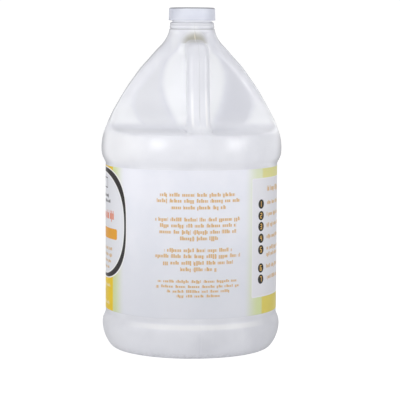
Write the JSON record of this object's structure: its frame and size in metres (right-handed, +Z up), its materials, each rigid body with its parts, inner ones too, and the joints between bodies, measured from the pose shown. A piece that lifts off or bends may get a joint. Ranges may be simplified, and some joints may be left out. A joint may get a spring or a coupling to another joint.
{
  "type": "handled jug bottle",
  "caption": "Round plastic jug with a moulded grip handle on the shoulder, a screw cap with a foam liner and a wrap-around film label.",
  "frame": {"origin": "centre of the base, on the plane the jug stands on", "axes": "+Z up along the neck axis; the grip handle is toward -Y; the mould parting plane is YZ"},
  "size_m": [0.1572, 0.1572, 0.2964],
  "materials": {
    "jug_plastic": "satin white polyethylene",
    "label_film": "glossy printed white film",
    "liner_foam": "soft white foam",
    "cap_plastic": "matte white polypropylene"
  },
  "bodies": {
    "jug": {"jug_body": "jug_plastic", "wrap_label": "label_film"},
    "liner": {"cap_liner": "liner_foam"},
    "cap": {"screw_cap": "cap_plastic"}
  },
  "joints": [
    {"name": "cap_rise", "type": "slide", "parent": "jug", "child": "liner", "axis": [0, 0, 1], "range_m": [0, 0.0128]},
    {"name": "cap_turn", "type": "hinge", "parent": "liner", "child": "cap", "pos_m": [0, 0, 0.2909], "axis": [0, 0, 1], "range_deg": [0, 1080]}
  ],
  "couplings": [
    {"joint": "cap_rise", "follows": "cap_turn", "m_per_rad": 0.00067375}
  ]
}
